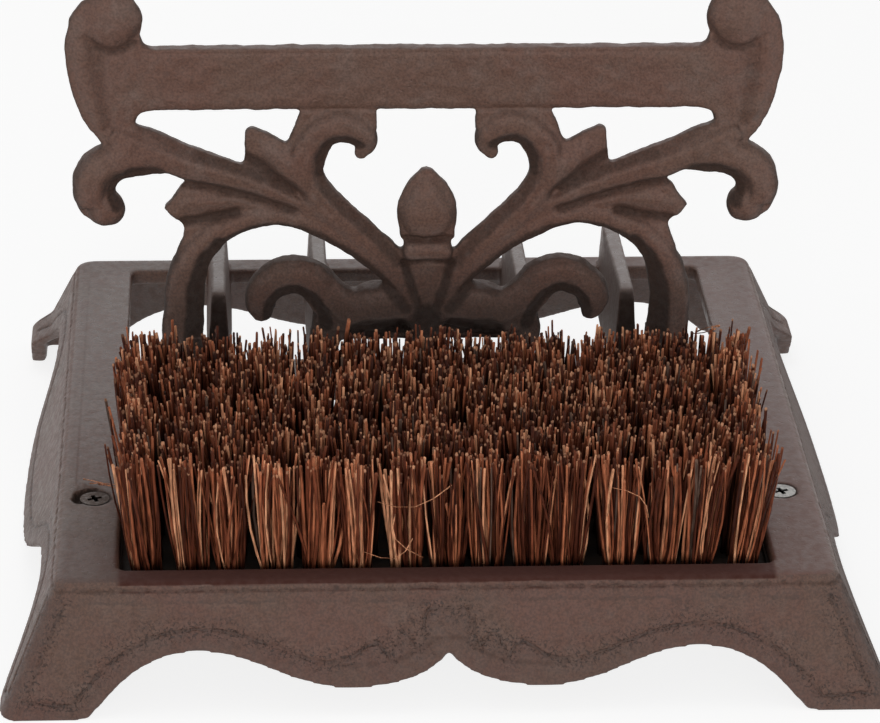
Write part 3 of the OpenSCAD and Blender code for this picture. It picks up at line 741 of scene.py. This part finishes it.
# The slab, the web beside the stem's foot, the blade, the bud of three balls, and the collar under it
middle = [
    slab,
    plate([(-28, 48), (28, 48), (27, 41.6), (-27, 41.6)], 0.6, -2, 0.6),
    plate([(-100, 121.6), (100, 121.6), (100, 141.1), (-100, 141.1)], 1.95, -3.55, 0.9),
    ball(0, 85.8, 9.3, 5.7),
    ball(0, 90.4, 7, 5.1),
    ball(0, 94.8, 4.4, 3.9),
    curl([(-7.8, 73, 4.6), (-6, 73.2, 6.8), (0, 73.2, 7.4), (6, 73.2, 6.8), (7.8, 73, 4.6)], lobe, 2.2),
]
panel = join([panel] + middle, "cast_panel")
for holder in (broad_left, broad_right, steep_right, thin_right, lobe):
    bpy.data.objects.remove(holder)
take(panel)
bpy.ops.object.mode_set(mode="EDIT")
bpy.ops.mesh.select_all(action="SELECT")
bpy.ops.mesh.normals_make_consistent(inside=False)
bpy.ops.object.mode_set(mode="OBJECT")
apply(panel, "REMESH", mode="VOXEL", voxel_size=PANEL_VOXEL, adaptivity=0)
apply(panel, "SMOOTH", factor=0.5, iterations=11)

sand_lumps = bpy.data.textures.new("sand_lumps", "CLOUDS")
sand_lumps.noise_scale = 5 * MM
sand_lumps.noise_depth = 3
apply(panel, "DISPLACE", texture=sand_lumps, texture_coords="LOCAL", strength=1.0 * MM, mid_level=0.5)

veins = both_sides([
    # between arm and lower leaf, and under the leaf's tip
    ([(42, 87), (50, 89.8), (60, 93.4), (70, 95.6), (77, 96.2)], 0.2, 2.4, 1.4, 0.2),
    ([(60, 86.6), (66, 85.2), (77, 83.4)], 0.3, 2.4, 1.4, 0.2),
    # upper leaf's dark side, and its edge beside the heart-shaped curl
    ([(40, 92.5), (47, 98), (53, 103.2), (57.5, 105.5)], 0.3, 2.6, 1.2, 0.2),
    ([(30, 86.5), (36.5, 95), (38.8, 103), (38.5, 109)], 0.1, 1.6, 0.5, 0.2),
    # foot of the blade, and the channel inside the tall scroll's rim
    ([(14, 121), (40, 121)], 0.2, 0.9, 0.5, 0.2),
    ([(99.4, 116), (100.6, 124), (101.4, 134), (101, 139)], 0.4, 2.8, 0.6, 0.3),
    ([(88, 147.5), (92, 142.2), (97, 140.2), (102, 141.4), (105.4, 145)], 0.2, 2.0, 0.7, 0.2),
    # hollow arch beside the stem's foot
    ([(11, 44), (18.5, 44)], 5.2, 2.8, 2.4, 0.3),
]) + [
    ([(-7.6, 69), (0, 69.8), (7.6, 69)], 0.3, 1.2, 1.0, 0.2),
    ([(-8, 77.4), (8, 77.4)], 0.2, 1.2, 1.0, 0.2),
    ([(-86, 139.8), (86, 139.8)], 0.1, 0.7, 0.3, 0.2),
]
press(panel, panel_face, veins, reach=7)
apply(panel, "SMOOTH", factor=0.5, iterations=2)
apply(panel, "DECIMATE", ratio=min(1, PANEL_TRIANGLES / (2 * len(panel.data.polygons))))
take(panel)
bpy.ops.object.shade_smooth()


def evened(mesh, values, rounds):
    """Spreads values over a mesh, each point taking the mean of its neighbours."""
    ends = np.empty(len(mesh.edges) * 2, int)
    mesh.edges.foreach_get("vertices", ends)
    first, second = ends.reshape(-1, 2).T
    count = np.bincount(ends, minlength=len(values))
    for _ in range(rounds):
        total = np.bincount(first, values[second], len(values))
        total += np.bincount(second, values[first], len(values))
        values = (values + total) / (1 + count)
    return values


normals = np.empty(len(panel.data.vertices) * 3)
panel.data.vertex_normals.foreach_get("vector", normals)
normals = normals.reshape(-1, 3)
places = np.empty(len(panel.data.vertices) * 3)
panel.data.vertices.foreach_get("co", places)
places = places.reshape(-1, 3)
up = places[:, 2] / MM

# Painted shade: slopes are darker than faces, least so high up where they face the light.
lit = 0.2 + 0.55 * np.clip((up - 70) / 15, 0, 1)
recess = np.clip((0.93 - np.abs(normals[:, 1])) / 0.5, 0, 1) * (1 - lit * np.clip(normals[:, 2], 0, 1))
recess = evened(panel.data, recess, 3)

# More painted shade, on slopes and in hollows: lines along them, half width, soft edge and shade.
dark_slopes = both_sides([
    # leg and arch
    ([(73, 62), (73.6, 58), (73.9, 50), (74, 36)], 2.5, 2.2, 0.95),
    ([(69.6, 71.6), (72, 66.5), (73, 62)], 2.1, 2.0, 0.95),
    ([(65.4, 76.4), (69.6, 71.6)], 1.6, 1.7, 0.95),
    ([(40, 80.4), (47, 81.8), (55, 81), (61, 78.8), (65.4, 76.4)], 0.8, 1.5, 0.9),
    ([(7, 54), (10, 58), (14, 63), (20, 68.6), (26, 73.4), (33, 77.6), (40, 80.4)], 1.2, 1.8, 0.85),
    # low scroll
    ([(32, 48), (33.5, 53.5), (37, 58), (42, 60), (46.5, 59), (49.4, 56), (50.5, 51)], 1.8, 1.2, 0.95),
    ([(11, 44), (18.5, 44)], 6.0, 2.6, 0.86),
    ([(26.5, 38), (28, 42), (31, 45), (35, 47)], 0.8, 2.0, 0.6),
    ([(31, 62.5), (34.5, 67), (40, 69.2), (46, 69), (52, 66), (55.5, 61.5), (57, 56)], 0.6, 2.2, 0.45),
    # heart-shaped curl
    ([(21, 109.5), (24, 111), (28, 111.2), (31.4, 109.4), (33.6, 105), (33.6, 100)], 1.2, 1.2, 0.85),
    ([(33.6, 100), (32, 95), (27.6, 89.4), (21.6, 83.6), (15, 77), (9.6, 70)], 1.2, 1.4, 0.6),
    # arm's upper side, and between it and the lower leaf
    ([(42, 94.4), (50, 98.2), (58, 101.6), (66, 104.2), (72, 106.2)], 1.0, 1.8, 0.6),
    ([(72, 106.2), (80, 110), (90, 116)], 0.4, 2.2, 0.4),
    ([(42, 87), (50, 89.8), (60, 93.4), (70, 95.6), (77, 96.2)], 0.5, 1.6, 0.65),
    ([(60, 86.6), (66, 85.2), (77, 83.4)], 0.8, 1.4, 0.75),
    # upper leaf
    ([(42, 94.4), (48, 98.6), (53, 103.2), (57.5, 106)], 1.0, 1.6, 0.7),
    # outer curl
    ([(84, 100.6), (92, 100.4), (96.4, 98.4), (98.4, 94.4), (97.4, 90)], 1.6, 1.4, 0.85),
    # tall scroll's channel and the eye's crease
    ([(99.4, 116), (100.6, 124), (101.4, 134), (101, 139)], 0.6, 2.2, 0.25),
    ([(90, 143.6), (94, 140.8), (98, 140.4), (102, 141.6)], 0.3, 1.5, 0.5),
    # beside the stem
    ([(7.4, 69.6), (5.8, 63), (3.6, 56), (1, 49)], 0.9, 1.6, 0.85),
    ([(0, 50), (0, 36)], 3.6, 3.0, 0.95),
    ([(4, 46), (10, 45), (16, 45)], 2.4, 2.0, 0.95),
]) + [([(-7.6, 69), (0, 69.8), (7.6, 69)], 0.4, 1.2, 0.7), ([(-8, 77.4), (8, 77.4)], 0.3, 1.0, 0.6)]
chosen, flat, _ = on_face(panel, panel_face, 7)
for points, half, soft, shade in dark_slopes:
    recess[chosen] = np.maximum(recess[chosen], shade * nearness(flat, points, half, soft, 0.4))
# Painted shadow of the brush on the panel's lower part, darker towards its feet.
brush_shadow = 0.4 * np.clip((78 - up) / 25, 0, 1)
recess = np.maximum(recess, brush_shadow)
panel.data.attributes.new("recess", "FLOAT", "POINT").data.foreach_set("value", recess)
panel.data.attributes.new("pitted", "FLOAT", "POINT").data.foreach_set("value", 0.6 * recess)
# The panel's finish is a lighter copy of the casting's: painted light, as more light falls on the upright
# panel than on the aprons, and partly the rub of boots.
panel.data.materials.clear()
panel.data.materials.append(cast_iron("brown_panel_iron", {
    "Brown": (0.142, 0.078, 0.057, 1), "Red": (0.144, 0.072, 0.052, 1), "Grey": (0.164, 0.105, 0.085, 1)}))

# The panel stands a hair askew: its top leans to the left.
LEAN, LEAN_SHIFT = 0.018, 1.08
LEVEL_AT, LEAN_FROM, FEET_TOP = 115, 55, 30
foot_share = np.clip((up - FEET_TOP) / (LEAN_FROM - FEET_TOP), 0, 1)
places[:, 0] += MM * np.where(up > LEAN_FROM, LEAN * (LEVEL_AT - up), LEAN_SHIFT * foot_share)
panel.data.vertices.foreach_set("co", places.ravel())
panel.data.update()
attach(panel, "root")
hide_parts("scraper_panel")

# Brush block
# A block of dark stained wood under the flat top. It keeps its CAD shape and gets a wood grain.
wood = bpy.data.materials.new("dark_wood")
wood.use_nodes = True
tree = wood.node_tree
surface = tree.nodes["Principled BSDF"]
spot = add_node(tree, "TexCoord").outputs["Object"]
spot = add_node(tree, "Mapping", {"Vector": spot, "Scale": (0.12, 1, 1)}).outputs[0]
streaks = noise(tree, spot, 420, 5, 0.6)
colour = blend(tree, spread(tree, streaks, 0.35, 0.65), (0.010, 0.006, 0.005, 1), (0.03, 0.018, 0.012, 1))
tree.links.new(colour, surface.inputs["Base Color"])
tree.links.new(spread(tree, streaks, 0.3, 0.7, 0.6, 0.8), surface.inputs["Roughness"])
relief = add_node(tree, "Bump", {"Height": streaks, "Strength": 0.5, "Distance": 0.0003})
tree.links.new(relief.outputs[0], surface.inputs["Normal"])
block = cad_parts["brush_block"]
block.data.materials.clear()
block.data.materials.append(wood)

# Bristle rows
# Seven rows of stiff plant fibre in tufts, set in the block and cut a little lower at the front. The fibres
# differ in thickness and colour, lean out of their tuft, and show a pale cut end, brightened as a painted
# highlight. Shade is painted at the roots and deep in the rows, the light streaks along the fibres are
# partly painted highlights, and the front row is painted a little lighter.
random.seed(11)
ROWS = 7
TUFTS = 15
STRANDS = 58
TUFT_RADIUS = 4.5
TUFT_PITCH = 12.3
ROW_PITCH = 12.5
FIRST_ROW = -100.75
ROOT = 29.5
TIPS = 70
FRONT_CUT = 3.6
ROW_END = 86
END_LEAN, FRONT_LEAN = 3.6, 1.2

bpy.ops.object.select_all(action="DESELECT")
bpy.ops.mesh.primitive_cylinder_add(vertices=5, radius=1, depth=1, end_fill_type="NGON",
                                    location=(0, 0, 0.5))
strand = bpy.context.object
bpy.ops.object.mode_set(mode="EDIT")
bpy.ops.mesh.select_all(action="DESELECT")
bpy.ops.mesh.select_mode(type="EDGE")
bpy.ops.object.mode_set(mode="OBJECT")
for edge in strand.data.edges:
    ends = [strand.data.vertices[index].co.z for index in edge.vertices]
    edge.select = abs(ends[0] - ends[1]) > 0.5
bpy.ops.object.mode_set(mode="EDIT")
bpy.ops.mesh.subdivide(number_cuts=3)
bpy.ops.object.mode_set(mode="OBJECT")
strand_points = np.array([vertex.co for vertex in strand.data.vertices])
strand_points[:, 2] += 0.5 - (strand_points[:, 2].max() + strand_points[:, 2].min()) / 2
strand_faces = [list(polygon.vertices) for polygon in strand.data.polygons]
bpy.data.objects.remove(strand)

fibre = bpy.data.materials.new("plant_fibre")
fibre.use_nodes = True
tree = fibre.node_tree
surface = tree.nodes["Principled BSDF"]
surface.inputs["Specular IOR Level"].default_value = 0.1
along = painted(tree, "along")
ramp = add_node(tree, "ValToRGB", {0: painted(tree, "tint")})
ramp.color_ramp.elements[0].color = (0.042, 0.012, 0.007, 1)
ramp.color_ramp.elements[1].color = (0.13, 0.08, 0.06, 1)
for stop, colour in (
    (0.25, (0.096, 0.026, 0.014, 1)), (0.5, (0.245, 0.07, 0.034, 1)), (0.75, (0.51, 0.17, 0.082, 1)),
    (0.92, (0.83, 0.4, 0.22, 1)), (0.94, (0.13, 0.08, 0.06, 1)),
):
    ramp.color_ramp.elements.new(stop).color = colour
spot = add_node(tree, "TexCoord").outputs["Object"]
spot = add_node(tree, "Mapping", {"Vector": spot, "Scale": (1, 1, 0.1)}).outputs[0]
# light and dark streaks along each fibre: its own colour, and painted highlights along it; they also set
# roughness and bumps
streaks = spread(tree, noise(tree, spot, 1600, 2), 0.3, 0.7, 0.5, 1.5)
colour = shaded(tree, ramp.outputs[0], streaks)
# painted shade at the roots, under the flat top, and down in the inner rows
colour = blend(tree, spread(tree, along, 0.0, 0.14, 0.55, 0), colour, (0.012, 0.005, 0.003, 1))
inner_row_shade = times(tree, painted(tree, "inner"), spread(tree, along, 0.6, 0.98, 0.9, 0.24))
colour = blend(tree, inner_row_shade, colour, (0.010, 0.004, 0.003, 1))
# pale cut ends: the fibre's own paler end, made brighter still as a painted highlight
pale_end = times(tree, spread(tree, along, 0.985, 1.0), painted(tree, "pale"))
colour = blend(tree, pale_end, colour, (0.8, 0.41, 0.24, 1))
tree.links.new(colour, surface.inputs["Base Color"])
tree.links.new(spread(tree, streaks, 0.5, 1.5, 0.36, 0.52), surface.inputs["Roughness"])
relief = add_node(tree, "Bump", {"Height": streaks, "Strength": 0.3, "Distance": 0.0001})
tree.links.new(relief.outputs[0], surface.inputs["Normal"])


def grow(root, rise, sway, thick, flat, shade):
    """Adds a fibre to the row: from its root, so far up and over, bowed, flattened, and cut off aslant."""
    turn = Matrix.Rotation(random.uniform(0, math.pi), 3, "Z")
    slant = random.uniform(0.1, 1.2)
    first = len(points)
    for x, y, z in strand_points:
        slim = thick * (1 - 0.2 * z)
        rim = turn @ Vector((x * slim, y * slim * flat, 0))
        rim.z = slant * rim.y if z > 0.99 else 0
        points.append((root + rise * z + sway * math.sin(math.pi * z) + rim) * MM)
        alongs.append(z)
    tints.extend([shade] * len(strand_points))
    pales.extend([0.8 * random.random() ** 3] * len(strand_points))
    faces.extend([first + corner for corner in face] for face in strand_faces)


# Loose fibres caught in the front row, fallen out at the left, and standing up at the rear: start, end,
# bow, thickness and tint.
LOOSE = {
    0: (
        ((-20, -107, 56), (1, -107, 61), (0, -2.5, -3), 0.22, 0.9),
        ((-15, -107, 52), (-7, -107, 38), (-4, -2, 0), 0.22, 0.9),
        ((-24, -107, 40), (-10, -107, 44), (2, -2.5, -3), 0.22, 0.9),
        ((46, -107, 60), (58, -107, 50), (3, -2.5, 3), 0.22, 0.9),
    ),
    3: (
        ((-94, -63, 38.5), (-106, -52.5, 37.6), (0, 0, 0.6), 0.42, 0.84),
        ((-94, -61, 39), (-104, -55.5, 37.6), (0, 0, 0.6), 0.36, 0.8),
        ((-93, -64, 38.5), (-101.5, -56, 37.6), (0, 0, 0.6), 0.36, 0.8),
    ),
    6: (
        ((-29, -26, 56), (-26, -25, 76.5), (0, 0, 0), 0.75, 0.68),
        ((80, -22, 70.3), (87, -21, 71.8), (0, 0, 0.5), 0.45, 0.84),
        ((79, -21, 69.4), (86, -20, 70.4), (0, 0, -0.5), 0.4, 0.8),
    ),
}
for row in range(ROWS):
    front = row == 0
    points, faces, tints, alongs, pales = [], [], [], [], []
    for tuft in range(TUFTS):
        middle = Vector(((tuft - TUFTS // 2) * TUFT_PITCH, FIRST_ROW + row * ROW_PITCH, ROOT))
        middle.x += random.gauss(0, 0.9) if 0 < tuft < TUFTS - 1 else 0
        fan = random.uniform(0.8, 2.6)
        tuft_tint = random.uniform(-0.1, 0.1)
        lean_across = random.gauss(0, 0.7) + END_LEAN * (middle.x / ROW_END) ** 3
        lean_along = random.gauss(0, 0.6) - (FRONT_LEAN if front else 0)
        tuft_lean = Vector((lean_across, lean_along, 0))
        for _ in range(STRANDS):
            angle, out = random.uniform(0, 2 * math.pi), math.sqrt(random.random())
            aside = Vector((math.cos(angle), math.sin(angle), 0)) * out
            stray = 2.6 if random.random() < (0.16 if front else 0.08) and abs(middle.x) < 80 else 1
            rise = tuft_lean + aside * fan + Vector((random.gauss(0, 1.4) * stray, random.gauss(0, 1.2), 0))
            rise.z = TIPS - FRONT_CUT * max(0, 1 - row / 4) - ROOT + random.gauss(0, 1.8)
            if random.random() < 0.06:
                rise *= random.uniform(0.6, 0.92)
            sway = Vector((random.gauss(0, 0.8), random.gauss(0, 0.8), 0))
            # the front row's fibres are painted a little lighter, as painted light on the lit front
            shade = min(0.92, max(0, random.betavariate(1.0, 1.4) + tuft_tint + (0.05 if front else 0)))
            thick, flat = random.uniform(0.3, 0.66), random.uniform(0.6, 1)
            shade = 0.97 if random.random() < 0.025 else shade
            grow(middle + aside * TUFT_RADIUS, rise, sway, thick, flat, shade)
    for start, end, bow, thick, shade in LOOSE.get(row, ()):
        grow(Vector(start), Vector(end) - Vector(start), Vector(bow), thick, 1, shade)
    mesh = bpy.data.meshes.new(f"bristles_{row + 1}")
    mesh.from_pydata(points, [], faces)
    mesh.polygons.foreach_set("use_smooth", [len(face) == 4 for face in faces])
    # how deep a point stands among the rows, for the painted shade: none in the front row, and less at the
    # rows' ends
    inner = [min(1, row, max(0.25, (90 - abs(point.x) / MM) / 8)) for point in points]
    for label, values in (("tint", tints), ("along", alongs), ("pale", pales), ("inner", inner)):
        mesh.attributes.new(label, "FLOAT", "POINT").data.foreach_set("value", values)
    mesh.materials.append(fibre)
    bristles = bpy.data.objects.new(f"bristles_{row + 1}", mesh)
    bpy.context.collection.objects.link(bristles)
    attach(bristles, "root")
    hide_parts(f"bristle_row_{row + 1}")

# Screws, bolts and washers
# Zinc-plated steel: two countersunk screws that hold the brush, and two bolts with washers under the
# panel's feet. They keep their CAD shape; the left screw has begun to stain.
zinc = bpy.data.materials.new("zinc_plate")
zinc.use_nodes = True
tree = zinc.node_tree
surface = tree.nodes["Principled BSDF"]
surface.inputs["Metallic"].default_value = 0.85
spot = add_node(tree, "TexCoord").outputs["Object"]
blotch = noise(tree, spot, 900, 3)
x, _, z = add_node(tree, "SeparateXYZ", {0: spot}).outputs
left = spread(tree, x, -0.09, -0.088, 1, 0)
stain = times(tree, left, spread(tree, blotch, 0.3, 0.55, 0.7, 1))
plating = blend(tree, spread(tree, blotch, 0.35, 0.65), (0.28, 0.27, 0.26, 1), (0.5, 0.49, 0.47, 1))
# painted shade in the screw heads' cross slots, below the heads' top
slot = times(tree, spread(tree, z, 0.0357, 0.0361, 1, 0), spread(tree, z, 0.0298, 0.03))
plating = blend(tree, stain, plating, (0.07, 0.045, 0.035, 1))
tree.links.new(blend(tree, slot, plating, (0.008, 0.006, 0.005, 1)), surface.inputs["Base Color"])
tree.links.new(spread(tree, blotch, 0.3, 0.7, 0.32, 0.5), surface.inputs["Roughness"])
for node in ("brush_screws", "panel_bolts", "panel_washers"):
    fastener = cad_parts[node]
    fastener.data.materials.clear()
    fastener.data.materials.append(zinc)
